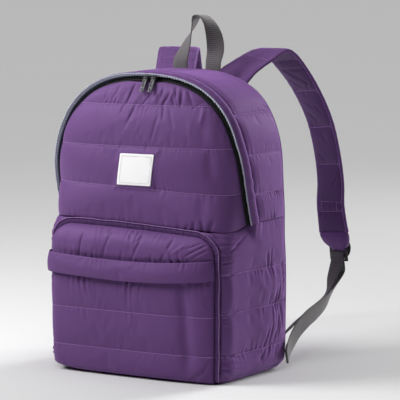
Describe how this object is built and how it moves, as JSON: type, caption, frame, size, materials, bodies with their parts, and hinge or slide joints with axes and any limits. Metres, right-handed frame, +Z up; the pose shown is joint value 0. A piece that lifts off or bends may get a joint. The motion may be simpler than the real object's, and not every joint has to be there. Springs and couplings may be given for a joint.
{
  "type": "quilted day backpack",
  "caption": "Soft quilted day backpack with an arched main zip, a flapped front pocket, padded shoulder straps on webbing adjusters, and a webbing grab handle.",
  "frame": {"origin": "middle of the flat base the bag stands on", "axes": "+Z up through the grab handle, -Y towards the front pocket, +X to the right seen from the front"},
  "size_m": [0.3266, 0.4003, 0.4988],
  "materials": {
    "quilted_cloth": "satin purple nylon over soft filling, stitched in level rows",
    "webbing": "matt grey woven webbing",
    "zip_tape": "black woven tape with a fine coil",
    "label_cloth": "plain white woven patch",
    "dark_metal": "dark gunmetal paint",
    "moulding": "satin black moulding"
  },
  "bodies": {
    "bag": {"zip_gusset": "quilted_cloth", "zip_flap": "quilted_cloth", "front_panel": "quilted_cloth", "lower_gusset": "quilted_cloth", "front_wall_lower": "quilted_cloth", "back_panel": "quilted_cloth", "pocket_front": "quilted_cloth", "pocket_top": "quilted_cloth", "pocket_flap": "quilted_cloth", "pocket_binding": "quilted_cloth", "strap_right": "quilted_cloth", "strap_left": "quilted_cloth", "strap_tab_right": "quilted_cloth", "strap_tab_left": "quilted_cloth", "grab_handle": "webbing", "web_right": "webbing", "web_left": "webbing", "main_zip": "zip_tape", "label": "label_cloth", "slider_left": "dark_metal", "slider_right": "dark_metal", "ladder_lock_right": "moulding", "ladder_lock_left": "moulding"},
    "pull_left": {"pull_left": "dark_metal"},
    "pull_right": {"pull_right": "dark_metal"}
  },
  "joints": [
    {"name": "left_pull_swing", "type": "hinge", "parent": "bag", "child": "pull_left", "pos_m": [0.003, -0.049, 0.413], "axis": [-1, 0, 0], "range_deg": [0, 150]},
    {"name": "right_pull_swing", "type": "hinge", "parent": "bag", "child": "pull_right", "pos_m": [0.0158, -0.049, 0.413], "axis": [-1, 0, 0], "range_deg": [0, 150]}
  ]
}
